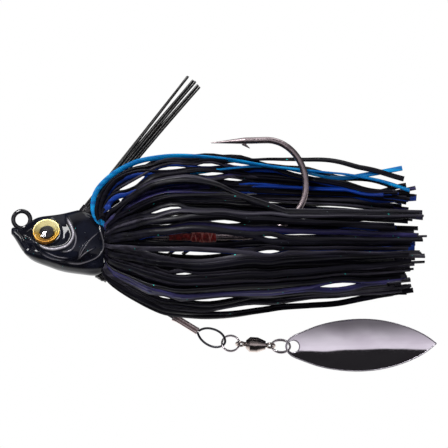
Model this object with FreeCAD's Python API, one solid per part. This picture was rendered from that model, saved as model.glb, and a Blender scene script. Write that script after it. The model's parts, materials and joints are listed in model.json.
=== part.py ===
import FreeCAD, Part
import math
import os

from FreeCAD import Placement, Rotation, Vector

# Skirted lead-head lure with a willow blade slung under it on a short flexible wire.
# Millimetres. Origin at the centre of the line tie's hole; -X is the nose, +X the tail, +Z up.
# The lure swims nose first, so its left side is -Y.

# Hook: one wire from the line tie, through the head, round the bend to the point
LINE_HOLE_R = 1.16
LINE_RING_R = 1.54
LINE_WIRE_R = 0.43
SHANK_R = 0.60
SHANK_Z = -3.2
SHANK_START_X = 3.0
BEND_START_X = 40.0
BEND_BACK = (52.2, 6.2)
BEND_TOP = (45.0, 14.6)
TAPER_START = (41.0, 14.5)
POINT_TIP = (34.7, 14.1)
TIP_R = 0.06
BARB_ROOT = (40.6, 14.0)
BARB_TIP = (41.9, 13.1)
BARB_BASE_R = 0.36

# Head: stations along X with the height of its crown, the height of its keel and its half width
HEAD_STATIONS = [
    (-1.90, -1.65, -2.70, 0.75),
    (-1.10, -1.50, -3.75, 1.35),
    (0.60, -1.15, -6.35, 2.35),
    (2.40, 0.15, -7.75, 3.20),
    (4.60, 0.70, -8.60, 3.95),
    (7.20, 1.05, -9.50, 4.55),
    (9.60, 1.60, -9.95, 4.70),
    (11.60, 1.85, -10.20, 4.50),
    (13.60, 1.00, -10.35, 4.10),
    (15.20, 0.20, -9.90, 3.60),
]
# One side of a head section: share of the half width, share of the height down from the crown
HEAD_SECTION = [(0.0, 0.0), (0.46, 0.07), (0.84, 0.32), (1.0, 0.58), (0.86, 0.82), (0.46, 0.97), (0.0, 1.0)]
NECK_Z = -4.2
NECK_R = 2.30
NECK_BARB_R = 2.75
NECK_START_X = 14.8
NECK_BARB_X = 18.7
NECK_END_X = 19.5

# Eyes: gold foil cup, black pupil and clear dome, each leaning back with the side of the head
EYE_X = 4.65
EYE_Y = 3.22
EYE_Z = -2.0
EYE_LEAN = 33.0
EYE_TOE_IN = 7.0
EYE_R = 2.45
FOIL_DEPTH = 1.10
FOIL_FLOOR = 0.70
FOIL_LIP_R = 2.30
PUPIL_R = 1.35
PUPIL_THICK = 0.22
DOME_RISE = 0.55
SOCKET_GAP = 0.05

# Weed guard
GUARD_ROOT = Vector(12.3, 0.0, 1.7)
GUARD_ANGLE = 51.7
GUARD_LENGTH = 30.4
FIBRE_R = 0.25
FIBRE_START = 0.75
FIBRE_ROW_Y = (0.28, 0.60)
# Offsets of each column of fibres across the fan: at the root, at the tip
FIBRE_COLUMNS = [(1.05, 0.95), (0.53, -0.22), (0.0, -0.80), (-0.53, -1.38), (-1.05, -1.96)]
PLUG_R = 1.45
PLUG_DEPTH = 3.4
PLUG_PROUD = 0.30

# Skirt: collar band and four bunches of silicone strands, each taken as one thin shell
COLLAR_START_X = 15.9
COLLAR_END_X = 18.5
COLLAR_OUTER_R = 3.5
# Stations along X: top, bottom and half width of the whole bunch
SKIRT_STATIONS = [
    (19.8, 7.6, -13.6, 8.2),
    (24.7, 11.0, -16.4, 10.8),
    (33.0, 11.6, -17.4, 12.2),
    (45.4, 11.0, -16.5, 12.6),
    (57.3, 10.3, -15.2, 12.0),
    (66.0, 9.0, -14.0, 10.2),
    (72.0, 5.5, -11.0, 7.0),
]
SKIRT_WALL = 2.2
TOP_SLOT_HALF = 1.7
BOTTOM_SLOT_HALF = 1.5
SIDE_SLOT_HALF = 0.3
SKIRT_PART_Z = -6.2

# Thread wrap and the two stiff bristles that it binds to the shank as a bait keeper
WRAP_START_X = 26.95
WRAP_STEP_X = 31.4
WRAP_END_X = 35.8
WRAP_THIN_R = 0.82
WRAP_THICK_R = 1.05
SHANK_GAP = 0.02
KEEPER_R = 0.30
KEEPER_BRISTLES = [((32.6, -4.28), (29.5, -6.4)), ((30.0, -4.28), (26.5, -6.7))]

# Blade wire: from a seal under the head, through a double-barrel sleeve, round an end loop and back
WIRE_R = 0.215
WIRE_HINGE = Vector(15.4, 0.0, -10.65)
WIRE_KNOB_R = 0.28
SEAL_BACK = 1.7
SEAL_FRONT = 0.5
SEAL_BACK_R = 0.95
SEAL_FRONT_R = 0.78
SEAL_BORE_R = 0.36
SEAL_MOUTH_R = 0.58
SLEEVE_START = Vector(27.9, 0.0, -17.8)
SLEEVE_END = Vector(32.3, 0.0, -20.5)
TUBE_R = 0.36
TUBE_OFFSET = 0.27
TUBE_GAP = 0.015
BELL_R = 0.56
BELL_LENGTH = 0.9
REAR_BELL_R = 0.43
REAR_BELL_LENGTH = 0.4
LOOP_END = Vector(37.3, 0.0, -22.68)
LOOP_HALF = 1.72
LOOP_TILT = 25.0
# One branch of the loop: share of the way from the sleeve to the far end, share of the half width
LOOP_BRANCH = [(0.23, 0.74), (0.53, 1.0), (0.83, 0.78)]

# Chain of links behind the loop, along a line that falls at CHAIN_FALL
CHAIN_FALL = 3.2
LINK_GAP = 0.12
BAND_HALF_T = 0.19
BAND_HALF_W = 0.31
FRONT_RING_R = 1.60
FRONT_RING_TILT = -30.0
REAR_RING_R = 1.70
REAR_RING_TILT = -50.0
EYELET_R = 0.75
EYELET_WIRE_R = 0.225
FRONT_EYELET_TILT = 62.0
REAR_EYELET_TILT = 58.0

# Swivel: barrel closed round the plug of the front eyelet; the rear eyelet's head runs on balls
NECK_WIRE_R = 0.42
BARREL_R = 1.40
BARREL_LENGTH = 3.65
BARREL_FRONT_R = 0.72
BARREL_REAR_R = 0.80
BARREL_SHOULDER = 0.75
BARREL_TAPER = 2.15
CAVITY_R = 0.98
CAVITY_START = 0.35
CAVITY_END = 2.55
PLUG_HEAD_R = 0.95
PLUG_HEAD_END = 1.05
ROTOR_HEAD_R = 0.90
ROTOR_HEAD_START = 1.50
ROTOR_HEAD_END = 1.98
ROTOR_BORE_R = 0.48
BALL_R = 0.24
BALL_PITCH_R = 0.70
BALL_STATION = 2.26
BALL_COUNT = 8
FRONT_NECK = 1.32
REAR_NECK = 0.88

# Blade: cupped willow leaf with one hole
BLADE_LENGTH = 27.9
BLADE_NOSE_R = 1.5
BLADE_RISE = 1.2
BLADE_T = 0.42
BLADE_HOLE_R = 1.05
BLADE_RIM = 0.42
BLADE_CUP_R = 13.0
BLADE_ARCH_R = 70.0
# Half width of the leaf at stations from its front end, behind the rounded nose
BLADE_HALF_WIDTHS = [
    (2.6, 2.50),
    (5.6, 3.65),
    (9.6, 4.55),
    (13.6, 4.85),
    (17.6, 4.55),
    (21.6, 3.55),
    (25.6, 1.75),
]

X_AXIS = Vector(1, 0, 0)
Y_AXIS = Vector(0, 1, 0)
Z_AXIS = Vector(0, 0, 1)


def at(x, z):
    """Point in the lure's own plane."""
    return Vector(x, 0, z)


def spline_edge(points, closed=False):
    """Smooth curve through the points."""
    curve = Part.BSplineCurve()
    curve.interpolate(points, PeriodicFlag=closed)
    return curve.toShape()


def loft(wires):
    """Solid through closed sections."""
    return Part.makeLoft(wires, True, False)


def rod(start, end, radius):
    """Round rod between two points."""
    return Part.makeCylinder(radius, (end - start).Length, start, end - start)


def taper(start, end, start_radius, end_radius):
    """Round bar that changes radius between two points."""
    return Part.makeCone(start_radius, end_radius, (end - start).Length, start, end - start)


def turned(profile):
    """Solid of revolution about X from (x, radius) points."""
    points = [Vector(x, 0, r) for x, r in profile]
    face = Part.Face(Part.makePolygon(points + [points[0]]))
    return face.revolve(Vector(0, 0, 0), X_AXIS, 360)


def swept_round(path, radius, start, direction):
    """Round wire along a path that leaves start in the given direction."""
    circle = Part.Wire(Part.makeCircle(radius, start, direction))
    return path.makePipeShell([circle], True, False)


def in_frame(shape, origin, fall=0.0, tilt=0.0):
    """Copy of a shape built along X, rolled about X, pitched down by fall and moved to origin."""
    placed = shape.copy()
    turn = Rotation(Y_AXIS, fall).multiply(Rotation(X_AXIS, tilt))
    placed.Placement = Placement(origin, turn).multiply(shape.Placement)
    return placed


def along_chain(distance):
    """Point on the chain's line, at a distance behind the end of the wire loop."""
    return LOOP_END + Rotation(Y_AXIS, CHAIN_FALL).multVec(X_AXIS) * distance


def quarter_ellipse(centre, corner_a, corner_b):
    """Quarter of an ellipse between two points that lie on its axes, as a smooth edge."""
    steps = 8
    points = []
    for i in range(steps + 1):
        angle = math.pi / 2 * i / steps
        points.append(centre + (corner_a - centre) * math.cos(angle) + (corner_b - centre) * math.sin(angle))
    return spline_edge(points)


def make_hook():
    """Line tie, shank, bend, tapered point and barb, as one wire."""
    ring = Part.makeTorus(LINE_RING_R, LINE_WIRE_R, Vector(), Y_AXIS)
    hole = Part.makeCylinder(LINE_HOLE_R, 2, Vector(0, -1, 0), Y_AXIS)
    neck_start = Vector(1, 0, -1).normalize() * LINE_RING_R
    shank_start = at(SHANK_START_X, SHANK_Z)
    neck = taper(neck_start, shank_start, LINE_WIRE_R, SHANK_R)
    knee = Part.makeSphere(SHANK_R, shank_start)

    back = at(*BEND_BACK)
    top = at(*BEND_TOP)
    bend_start = at(BEND_START_X, SHANK_Z)
    lower = quarter_ellipse(at(BEND_START_X, BEND_BACK[1]), bend_start, back)
    upper = quarter_ellipse(at(BEND_TOP[0], BEND_BACK[1]), back, top)
    taper_start = at(*TAPER_START)
    edges = [Part.makeLine(shank_start, bend_start), lower, upper, Part.makeLine(top, taper_start)]
    wire = swept_round(Part.Wire(edges), SHANK_R, shank_start, X_AXIS)

    point = taper(taper_start, at(*POINT_TIP), SHANK_R, TIP_R)
    corner = Part.makeSphere(SHANK_R, taper_start)
    barb = taper(at(*BARB_ROOT), at(*BARB_TIP), BARB_BASE_R, TIP_R)
    hook = ring.fuse([neck, knee, wire, corner, point, barb])
    return hook.cut(hole).removeSplitter()


def head_section(x, crown, keel, half_width):
    """Closed head section at one station."""
    side = [Vector(x, half_width * across, crown + (keel - crown) * down) for across, down in HEAD_SECTION]
    other = [Vector(p.x, -p.y, p.z) for p in side[-2:0:-1]]
    return Part.Wire(spline_edge(side + other, True))


def make_head_blank():
    """Lead head and its skirt neck, before anything is moulded or glued into it."""
    body = loft([head_section(*station) for station in HEAD_STATIONS])
    neck = Part.makeCylinder(NECK_R, NECK_END_X - NECK_START_X, at(NECK_START_X, NECK_Z), X_AXIS)
    barb = taper(at(NECK_BARB_X, NECK_Z), at(NECK_END_X, NECK_Z), NECK_BARB_R, NECK_R)
    return body.fuse([neck, barb])


def eye_placement(side):
    """Frame of one eye: +Z looks out of the head. side is -1 on the left and +1 on the right."""
    lean = math.radians(EYE_LEAN)
    toe = math.radians(EYE_TOE_IN)
    out = Vector(-math.sin(toe) * math.cos(lean), side * math.cos(toe) * math.cos(lean), math.sin(lean))
    return Placement(Vector(EYE_X, side * EYE_Y, EYE_Z), Rotation(Z_AXIS, out))


def eye_solids():
    """Foil cup, pupil and dome of an eye that looks along +Z, with the foil's lip at z = 0."""
    cup = Part.makeCylinder(EYE_R, FOIL_DEPTH, Vector(0, 0, -FOIL_DEPTH))
    bowl = Part.makeCone(PUPIL_R, FOIL_LIP_R, FOIL_FLOOR, Vector(0, 0, -FOIL_FLOOR))
    pupil = Part.makeCylinder(PUPIL_R - SOCKET_GAP, PUPIL_THICK, Vector(0, 0, -FOIL_FLOOR))
    cap_r = (EYE_R**2 + DOME_RISE**2) / (2 * DOME_RISE)
    ball = Part.makeSphere(cap_r, Vector(0, 0, DOME_RISE - cap_r))
    rim = Part.makeCylinder(EYE_R, DOME_RISE * 2)
    dome = ball.common(rim).fuse(bowl).cut(pupil).removeSplitter()
    return {"foil": cup.cut(bowl), "pupil": pupil, "dome": dome}


def make_eye_part(name, side):
    """One piece of one eye, in place."""
    piece = eye_solids()[name]
    piece.Placement = eye_placement(side)
    return piece


def make_eye_socket(side):
    """Pocket that the eye is glued into, open outwards."""
    pocket = Part.makeCylinder(EYE_R + SOCKET_GAP, FOIL_DEPTH + 5, Vector(0, 0, -FOIL_DEPTH - SOCKET_GAP))
    pocket.Placement = eye_placement(side)
    return pocket


def guard_direction():
    """Unit vector along the weed guard."""
    angle = math.radians(GUARD_ANGLE)
    return at(math.cos(angle), math.sin(angle))


def make_guard_plug():
    """Glued ferrule that holds the guard's fibres in the head."""
    along = guard_direction()
    return rod(GUARD_ROOT - along * PLUG_DEPTH, GUARD_ROOT + along * PLUG_PROUD, PLUG_R)


def make_guard_fibres():
    """Two rows of stiff fibres that fan out a little towards their tips."""
    along = guard_direction()
    across = at(-along.z, along.x)
    fibres = []
    for root, tip in FIBRE_COLUMNS:
        for side in (-1, 1):
            start = GUARD_ROOT + along * FIBRE_START + across * root + Y_AXIS * side * FIBRE_ROW_Y[0]
            end = GUARD_ROOT + along * GUARD_LENGTH + across * tip + Y_AXIS * side * FIBRE_ROW_Y[1]
            fibres.append(rod(start, end, FIBRE_R))
    return Part.makeCompound(fibres)


def skirt_section(x, top, bottom, half_width, inset):
    """Elliptical section of the skirt, drawn in by inset."""
    centre = at(x, (top + bottom) / 2)
    semi_z = (top - bottom) / 2 - inset
    semi_y = half_width - inset
    points = []
    for i in range(12):
        angle = math.tau * i / 12
        points.append(centre + Y_AXIS * semi_y * math.cos(angle) + Z_AXIS * semi_z * math.sin(angle))
    return Part.Wire(spline_edge(points, True))


def make_skirt_shell():
    """The whole skirt as one open-ended shell."""
    outer = loft([skirt_section(*station, 0) for station in SKIRT_STATIONS])
    inner = loft([skirt_section(*station, SKIRT_WALL) for station in SKIRT_STATIONS])
    return outer.cut(inner)


def make_skirt_bunch(side, level):
    """A quarter of the skirt: side is -1 left or +1 right, level is -1 lower or +1 upper."""
    reach = 100.0
    slot = TOP_SLOT_HALF if level > 0 else BOTTOM_SLOT_HALF
    low_y = slot if side > 0 else -reach
    low_z = SKIRT_PART_Z + SIDE_SLOT_HALF if level > 0 else -reach
    width = reach - slot
    height = reach if level > 0 else reach + SKIRT_PART_Z - SIDE_SLOT_HALF
    quarter = Part.makeBox(reach, width, height, Vector(0, low_y, low_z))
    return make_skirt_shell().common(quarter)


def make_collar():
    """Rubber band that grips the strands on the neck of the head."""
    profile = [
        (COLLAR_START_X, NECK_R + SHANK_GAP),
        (COLLAR_START_X, COLLAR_OUTER_R - 0.3),
        (COLLAR_START_X + 0.3, COLLAR_OUTER_R),
        (COLLAR_END_X - 0.3, COLLAR_OUTER_R),
        (COLLAR_END_X, COLLAR_OUTER_R - 0.3),
        (COLLAR_END_X, NECK_R + SHANK_GAP),
    ]
    return in_frame(turned(profile), at(0, NECK_Z))


def make_keeper():
    """Two bristles that point forwards and down from the shank."""
    return Part.makeCompound([rod(at(*root), at(*tip), KEEPER_R) for root, tip in KEEPER_BRISTLES])


def make_thread_wrap():
    """Thread bound round the shank in a thin run and a thick run."""
    bore = SHANK_R + SHANK_GAP
    profile = [
        (WRAP_START_X, bore),
        (WRAP_START_X, WRAP_THIN_R),
        (WRAP_STEP_X, WRAP_THIN_R),
        (WRAP_STEP_X, WRAP_THICK_R),
        (WRAP_END_X, WRAP_THICK_R),
        (WRAP_END_X, bore),
    ]
    return in_frame(turned(profile), at(0, SHANK_Z)).cut(make_keeper())


def wire_run():
    """Unit vector along the wire between the seal and the sleeve."""
    return (main_tube()[0] - WIRE_HINGE).normalize()


def sleeve_axes():
    """Unit vectors along the sleeve and across it, upwards."""
    along = (SLEEVE_END - SLEEVE_START).normalize()
    return along, at(-along.z, along.x)


def main_tube():
    """Ends of the tube that the wire comes in by."""
    across = sleeve_axes()[1]
    return SLEEVE_START - across * TUBE_OFFSET, SLEEVE_END - across * TUBE_OFFSET


def return_tube():
    """Ends of the tube that the wire's tail goes back into."""
    across = sleeve_axes()[1]
    return SLEEVE_START + across * TUBE_OFFSET, SLEEVE_END + across * TUBE_OFFSET


def loop_side():
    """Unit vector across the loop, from its lower branch to its upper one."""
    along = (LOOP_END - SLEEVE_END).normalize()
    across = at(-along.z, along.x)
    return Rotation(along, LOOP_TILT).multVec(across)


def make_blade_wire():
    """Flexible wire with its end loop, bent back so that its tail lies in the sleeve."""
    side = loop_side()
    span = LOOP_END - SLEEVE_END
    main_in, main_out = main_tube()
    tail_in, tail_out = return_tube()
    lower = [SLEEVE_END + span * share - side * LOOP_HALF * width for share, width in LOOP_BRANCH]
    upper = [SLEEVE_END + span * share + side * LOOP_HALF * width for share, width in reversed(LOOP_BRANCH)]
    curve = Part.BSplineCurve()
    lead = sleeve_axes()[0] * WIRE_R
    main_in -= lead
    main_out += lead
    tail_out += lead
    curve.interpolate([main_out] + lower + [LOOP_END] + upper + [tail_out])
    leave = curve.tangent(curve.FirstParameter)[0]
    loop = swept_round(Part.Wire(curve.toShape()), WIRE_R, main_out, leave)
    runs = [rod(WIRE_HINGE, main_in, WIRE_R), rod(main_in, main_out, WIRE_R), rod(tail_in, tail_out, WIRE_R)]
    kinks = [Part.makeSphere(WIRE_R, point) for point in (main_in, main_out, tail_out)]
    knob = Part.makeSphere(WIRE_KNOB_R, WIRE_HINGE)
    return loop.fuse(runs + kinks + [knob])


def make_wire_seal():
    """Bead of glue round the place where the wire leaves the head, with a flared mouth."""
    along = wire_run()
    back = WIRE_HINGE - along * SEAL_BACK
    front = WIRE_HINGE + along * SEAL_FRONT
    bead = taper(back, front, SEAL_BACK_R, SEAL_FRONT_R)
    bore = rod(WIRE_HINGE - along * SEAL_BORE_R, WIRE_HINGE, SEAL_BORE_R)
    mouth = taper(WIRE_HINGE, front, SEAL_BORE_R, SEAL_MOUTH_R)
    return bead.cut(bore.fuse(mouth))


def make_sleeve():
    """Two tubes side by side, pressed on the wire and its tail, belled at both ends."""
    along = sleeve_axes()[0]
    length = (SLEEVE_END - SLEEVE_START).Length
    bore = WIRE_R + TUBE_GAP
    wall = TUBE_R - bore
    outside = [
        (0, 0),
        (0, BELL_R),
        (BELL_LENGTH, TUBE_R),
        (length - REAR_BELL_LENGTH, TUBE_R),
        (length, REAR_BELL_R),
        (length, 0),
    ]
    inside = [
        (-1, 0),
        (-1, BELL_R),
        (0, BELL_R - wall),
        (BELL_LENGTH, bore),
        (length + 1, bore),
        (length + 1, 0),
    ]
    fall = -math.degrees(math.atan2(along.z, along.x))
    starts = [main_tube()[0], return_tube()[0]]
    solid = [in_frame(turned(outside), start, fall) for start in starts]
    hollow = [in_frame(turned(inside), start, fall) for start in starts]
    return solid[0].fuse(solid[1]).cut(hollow[0]).cut(hollow[1])


def band_ring(radius):
    """Flattened wire ring in the XZ plane, centred on the origin."""
    section = Part.Ellipse(Vector(radius, 0, 0), BAND_HALF_W, BAND_HALF_T)
    edge = section.toShape()
    edge.rotate(Vector(radius, 0, 0), Z_AXIS, 90)
    return Part.Face(Part.Wire(edge)).revolve(Vector(), Y_AXIS, 360)


def ring_reach():
    """Distance between a loop wire's centre and the band that hangs in it."""
    return WIRE_R + BAND_HALF_T + LINK_GAP


def eyelet_reach():
    """Distance between an eyelet wire's centre and the band that hangs in it."""
    return EYELET_WIRE_R + BAND_HALF_T + LINK_GAP


def front_ring_station():
    """Chain distance of the front ring's centre."""
    return FRONT_RING_R - ring_reach()


def front_eyelet_station():
    """Chain distance of the front eyelet's centre."""
    return front_ring_station() + FRONT_RING_R - eyelet_reach() + EYELET_R


def barrel_station():
    """Chain distance of the barrel's front end."""
    return front_eyelet_station() + FRONT_NECK - CAVITY_START


def rear_eyelet_station():
    """Chain distance of the rear eyelet's centre."""
    return barrel_station() + BARREL_LENGTH + REAR_NECK


def rear_ring_station():
    """Chain distance of the rear ring's centre."""
    return rear_eyelet_station() + EYELET_R - eyelet_reach() + REAR_RING_R


def make_front_ring():
    return in_frame(band_ring(FRONT_RING_R), along_chain(front_ring_station()), CHAIN_FALL, FRONT_RING_TILT)


def make_rear_ring():
    return in_frame(band_ring(REAR_RING_R), along_chain(rear_ring_station()), CHAIN_FALL, REAR_RING_TILT)


def eyelet(neck_length):
    """Wire eye in the XZ plane at the origin, with a round neck that runs along +X."""
    ring = Part.makeTorus(EYELET_R, EYELET_WIRE_R, Vector(), Y_AXIS)
    neck = Part.makeCylinder(NECK_WIRE_R, neck_length - EYELET_R, Vector(EYELET_R, 0, 0), X_AXIS)
    shoulder = Part.makeSphere(NECK_WIRE_R, Vector(EYELET_R, 0, 0))
    hole = Part.makeCylinder(EYELET_R - EYELET_WIRE_R, 2, Vector(0, -1, 0), Y_AXIS)
    return ring.fuse([neck, shoulder]).cut(hole)


def make_front_eyelet():
    """Fixed eye of the swivel and the plug that closes the barrel."""
    plug = Part.makeCylinder(PLUG_HEAD_R, PLUG_HEAD_END - CAVITY_START, Vector(FRONT_NECK, 0, 0), X_AXIS)
    shape = eyelet(FRONT_NECK).fuse(plug)
    return in_frame(shape, along_chain(front_eyelet_station()), CHAIN_FALL, FRONT_EYELET_TILT)


def make_rear_eyelet():
    """Turning eye of the swivel: its neck runs into the barrel and ends in a head that bears on the balls."""
    reach = REAR_NECK + BARREL_LENGTH - ROTOR_HEAD_END
    head_length = ROTOR_HEAD_END - ROTOR_HEAD_START
    head = Part.makeCylinder(ROTOR_HEAD_R, head_length, Vector(reach, 0, 0), X_AXIS)
    shape = eyelet(reach).fuse(head)
    shape.rotate(Vector(), Z_AXIS, 180)
    return in_frame(shape, along_chain(rear_eyelet_station()), CHAIN_FALL, REAR_EYELET_TILT)


def make_barrel():
    """Turned swivel barrel with its closed-in front lip, ball race and rear bore."""
    profile = [
        (0, NECK_WIRE_R + SHANK_GAP),
        (0, BARREL_FRONT_R),
        (BARREL_SHOULDER, BARREL_R),
        (BARREL_TAPER, BARREL_R),
        (BARREL_LENGTH, BARREL_REAR_R),
        (BARREL_LENGTH, ROTOR_BORE_R),
        (CAVITY_END, ROTOR_BORE_R),
        (CAVITY_END, CAVITY_R),
        (CAVITY_START, CAVITY_R),
        (CAVITY_START, NECK_WIRE_R + SHANK_GAP),
    ]
    return in_frame(turned(profile), along_chain(barrel_station()), CHAIN_FALL)


def make_balls():
    """Ring of bearing balls between the rear eyelet's head and the barrel."""
    balls = []
    for i in range(BALL_COUNT):
        angle = math.tau * i / BALL_COUNT
        centre = Vector(BALL_STATION, BALL_PITCH_R * math.cos(angle), BALL_PITCH_R * math.sin(angle))
        balls.append(Part.makeSphere(BALL_R, centre))
    return in_frame(Part.makeCompound(balls), along_chain(barrel_station()), CHAIN_FALL)


def blade_outline():
    """Leaf outline in the XZ plane: front end at the origin, tip at x = BLADE_LENGTH."""
    half = [(BLADE_NOSE_R * 0.5, BLADE_NOSE_R)] + BLADE_HALF_WIDTHS
    tip = (BLADE_LENGTH, 0)
    upper = [Vector(x, 0, w) for x, w in [tip] + half[::-1]]
    lower = [Vector(x, 0, -w) for x, w in half + [tip]]
    return Part.Wire(spline_edge(upper + [Vector()] + lower))


def make_blade():
    """Willow leaf, cupped across and arched along, with the ring's hole near its front end."""
    leaf = Part.Face(blade_outline())
    leaf.translate(Vector(0, -3, 0))
    prism = leaf.extrude(Vector(0, 6, 0))
    spine = Vector(BLADE_LENGTH / 2, BLADE_ARCH_R + BLADE_CUP_R, 0)
    outer = Part.makeTorus(BLADE_ARCH_R, BLADE_CUP_R, spine, Z_AXIS)
    inner = Part.makeTorus(BLADE_ARCH_R, BLADE_CUP_R - BLADE_T, spine, Z_AXIS)
    sheet = prism.common(outer.cut(inner))
    sag = BLADE_ARCH_R - math.sqrt(BLADE_ARCH_R**2 - (BLADE_LENGTH / 2 - hole_station()) ** 2)
    hole = Part.makeCylinder(BLADE_HOLE_R, 8, Vector(hole_station(), -4, 0), Y_AXIS)
    blade = sheet.cut(hole)
    blade.translate(Vector(-BLADE_RIM, -sag - BLADE_T / 2, 0))
    contact = along_chain(rear_ring_station() + REAR_RING_R - BAND_HALF_T - LINK_GAP * 2.5)
    return in_frame(blade, contact, -BLADE_RISE)


def hole_station():
    """Distance of the hole's centre from the blade's front end."""
    return BLADE_RIM + BLADE_HOLE_R


def build():
    """All the parts by node name."""
    hook = make_hook()
    blank = make_head_blank()
    plug = make_guard_plug()
    seal = make_wire_seal()
    head = blank.cut([hook, plug, make_eye_socket(-1), make_eye_socket(1)])
    parts = {
        "head_casting": head.removeSplitter(),
        "hook": hook,
        "weed_guard_plug": plug,
        "weed_guard_fibres": make_guard_fibres(),
        "skirt_collar": make_collar(),
        "thread_wrap": make_thread_wrap(),
        "bait_keeper": make_keeper(),
        "wire_seal": seal.cut(blank),
        "blade_wire": make_blade_wire(),
        "wire_sleeve": make_sleeve(),
        "front_ring": make_front_ring(),
        "swivel_front_eyelet": make_front_eyelet(),
        "swivel_barrel": make_barrel(),
        "swivel_balls": make_balls(),
        "swivel_rear_eyelet": make_rear_eyelet(),
        "rear_ring": make_rear_ring(),
        "blade": make_blade(),
    }
    for side, side_name in ((-1, "left"), (1, "right")):
        for name in ("foil", "pupil", "dome"):
            parts[f"eye_{name}_{side_name}"] = make_eye_part(name, side)
        for level, level_name in ((1, "upper"), (-1, "lower")):
            parts[f"skirt_{level_name}_{side_name}"] = make_skirt_bunch(side, level)
    return parts


os.makedirs("parts", exist_ok=True)
for node, shape in build().items():
    shape.exportStep(os.path.join("parts", node + ".step"))
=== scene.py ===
import json
import math
import random

import bmesh
import bpy
import numpy as np
from mathutils import Matrix, Vector, geometry, noise
from mathutils.bvhtree import BVHTree


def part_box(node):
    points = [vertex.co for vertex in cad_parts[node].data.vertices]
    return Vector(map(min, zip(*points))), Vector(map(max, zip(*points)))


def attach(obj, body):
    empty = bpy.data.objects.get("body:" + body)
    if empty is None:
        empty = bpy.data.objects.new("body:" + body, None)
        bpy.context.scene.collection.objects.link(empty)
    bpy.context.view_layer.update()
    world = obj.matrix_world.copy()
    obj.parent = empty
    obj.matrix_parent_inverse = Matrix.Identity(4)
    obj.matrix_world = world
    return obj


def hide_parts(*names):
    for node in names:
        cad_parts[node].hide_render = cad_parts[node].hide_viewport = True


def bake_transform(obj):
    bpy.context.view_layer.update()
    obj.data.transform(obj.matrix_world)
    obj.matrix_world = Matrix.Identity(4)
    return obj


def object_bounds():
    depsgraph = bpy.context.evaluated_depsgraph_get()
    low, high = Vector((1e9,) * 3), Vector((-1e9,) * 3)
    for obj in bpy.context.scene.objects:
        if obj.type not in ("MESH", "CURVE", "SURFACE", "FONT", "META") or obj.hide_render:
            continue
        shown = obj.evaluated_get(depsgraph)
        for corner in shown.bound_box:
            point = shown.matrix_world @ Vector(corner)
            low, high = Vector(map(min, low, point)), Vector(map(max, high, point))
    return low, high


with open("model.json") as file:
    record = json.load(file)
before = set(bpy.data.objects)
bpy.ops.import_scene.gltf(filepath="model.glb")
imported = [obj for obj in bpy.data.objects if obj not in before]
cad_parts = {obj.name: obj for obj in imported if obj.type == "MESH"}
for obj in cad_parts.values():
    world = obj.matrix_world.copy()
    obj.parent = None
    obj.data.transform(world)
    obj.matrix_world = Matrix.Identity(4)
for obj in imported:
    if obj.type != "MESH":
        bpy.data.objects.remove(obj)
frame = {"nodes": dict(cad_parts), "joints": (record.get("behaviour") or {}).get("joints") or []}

# The head's mesh attribute that its paint reads: 1 where a pale highlight is painted along a raised crest.
CREST_HIGHLIGHT = "painted_crest_highlight"

# The lure is worked out in millimetres and turned into metres when a mesh is made; the studio is in metres.
# X runs from the nose to the tail, Y to the lure's right, Z up.
MM = 0.001
CAD_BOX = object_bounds()
nodes = frame["nodes"]


def box_mm(node):
    """Lowest and highest corner of a CAD node, in millimetres."""
    return tuple(np.array(corner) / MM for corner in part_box(node))


def joint(name):
    """The frame's entry for one joint."""
    return next(entry for entry in frame["joints"] if entry["name"] == name)


# ---- Finishes ----

class Graph:
    """A node tree with short calls for the nodes that the finishes share."""

    def __init__(self, tree):
        self.tree = tree

    def feed(self, socket, value):
        if isinstance(value, bpy.types.NodeSocket):
            self.tree.links.new(value, socket)
        elif socket.type == "RGBA":
            socket.default_value = (*value[:3], 1.0)
        else:
            socket.default_value = value

    def node(self, kind, values=None, **settings):
        made = self.tree.nodes.new(kind)
        for key, value in settings.items():
            setattr(made, key, value)
        for key, value in (values or {}).items():
            self.feed(made.inputs[key], value)
        return made

    def math(self, operation, *values):
        made = self.node("ShaderNodeMath", operation=operation)
        for socket, value in zip(made.inputs, values):
            self.feed(socket, value)
        return made.outputs[0]

    def span(self, value, low, high, start=0.0, end=1.0):
        """A smooth step from start at low to end at high."""
        values = {"Value": value, "From Min": low, "From Max": high, "To Min": start, "To Max": end}
        return self.node("ShaderNodeMapRange", values, interpolation_type="SMOOTHSTEP").outputs[0]

    def mix(self, share, first, second, blend="MIX"):
        made = self.node("ShaderNodeMix", data_type="RGBA", blend_type=blend)
        for index, value in ((0, share), (6, first), (7, second)):
            self.feed(made.inputs[index], value)
        return made.outputs[2]

    def split(self, vector):
        return self.node("ShaderNodeSeparateXYZ", {0: vector}).outputs


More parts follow.
